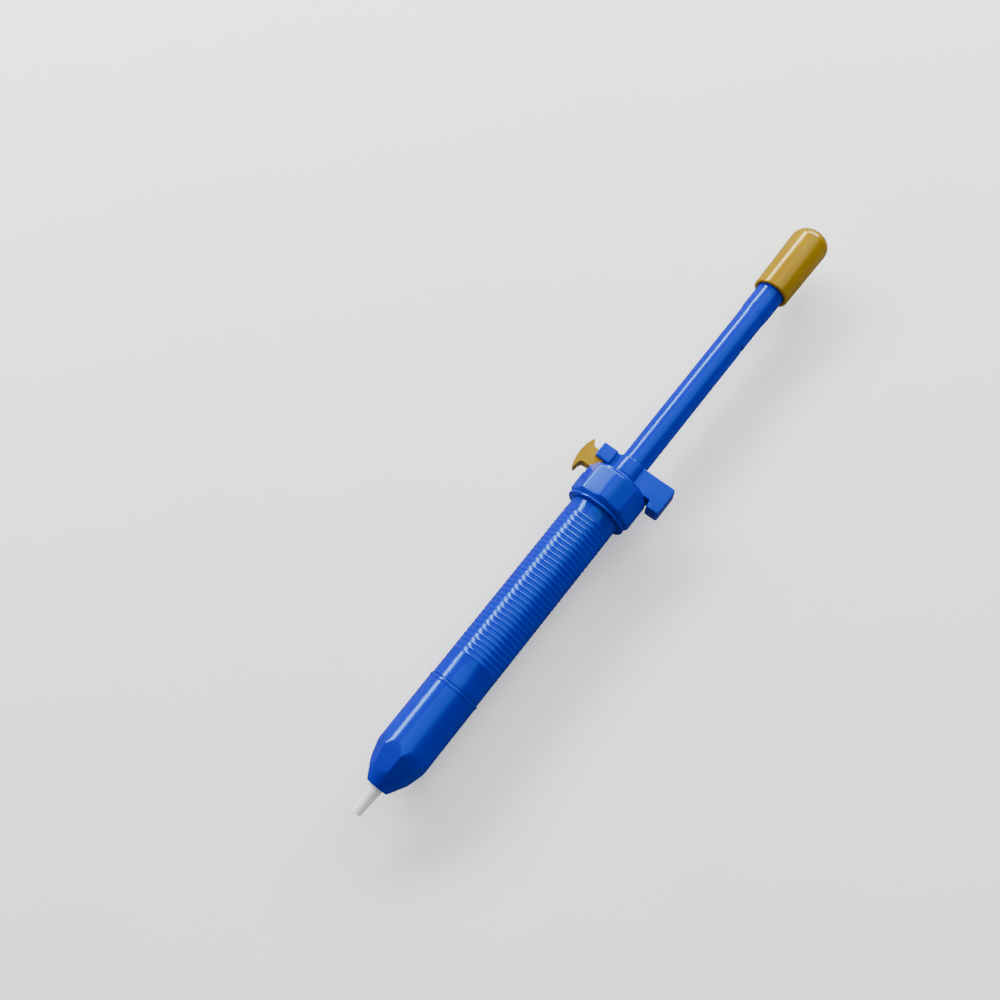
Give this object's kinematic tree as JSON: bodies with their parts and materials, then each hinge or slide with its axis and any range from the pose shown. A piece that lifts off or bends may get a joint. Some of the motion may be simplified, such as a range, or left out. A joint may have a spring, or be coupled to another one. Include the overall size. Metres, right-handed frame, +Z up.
{
  "type": "desoldering pump",
  "caption": "Spring-loaded desoldering pump with a tapered tip, bullet nose, many-sided collar, hooked finger flange, side trigger and thumb-knob plunger.",
  "frame": {"origin": "under the middle of the pump's length, on the surface it lies on; the pump's axis is 16.9 mm above it", "axes": "+X along the pump's axis from the nozzle to the thumb knob, +Y to the trigger's side, +Z up"},
  "size_m": [0.3634, 0.0488, 0.0338],
  "materials": {
    "blue_plastic": "glossy moulded plastic",
    "amber_plastic": "glossy moulded plastic",
    "white_ptfe": "waxy turned PTFE",
    "white_acetal": "satin moulded acetal",
    "black_rubber": "matte rubber",
    "spring_steel": "drawn spring wire",
    "plate_steel": "stamped and plated steel"
  },
  "bodies": {
    "body": {"barrel": "blue_plastic", "nose_o_ring": "black_rubber", "lock_ring": "blue_plastic", "rear_collar": "blue_plastic", "finger_flange": "blue_plastic", "guide_bush": "white_acetal", "shaft_wiper": "black_rubber", "bumper_ring": "black_rubber", "main_spring": "spring_steel", "spring_seat": "plate_steel", "trigger_spring": "spring_steel"},
    "nose": {"nozzle": "white_ptfe", "nozzle_seal": "black_rubber", "nose_cone": "blue_plastic"},
    "plunger": {"plunger_tube": "blue_plastic", "plunger_knob": "amber_plastic", "tube_plug": "white_acetal", "piston_head": "white_acetal", "piston_o_ring": "black_rubber", "piston_washer": "plate_steel", "cleaning_rod": "plate_steel"},
    "trigger": {"trigger_button": "amber_plastic", "latch_plate": "plate_steel"}
  },
  "joints": [
    {"name": "plunger_slide", "type": "slide", "parent": "body", "child": "plunger", "axis": [-1, 0, 0], "range_m": [0, 0.097], "stiffness_N_per_m": 120, "springref_m": -0.1, "deforming": ["main_spring"]},
    {"name": "trigger_press", "type": "slide", "parent": "body", "child": "trigger", "axis": [0, -1, 0], "range_m": [0, 0.003], "stiffness_N_per_m": 300, "springref_m": -0.002, "deforming": ["trigger_spring"]},
    {"name": "nose_twist", "type": "hinge", "parent": "body", "child": "nose", "pos_m": [-0.1187, 0, 0.0169], "axis": [-1, 0, 0], "range_deg": [0, 90]}
  ]
}
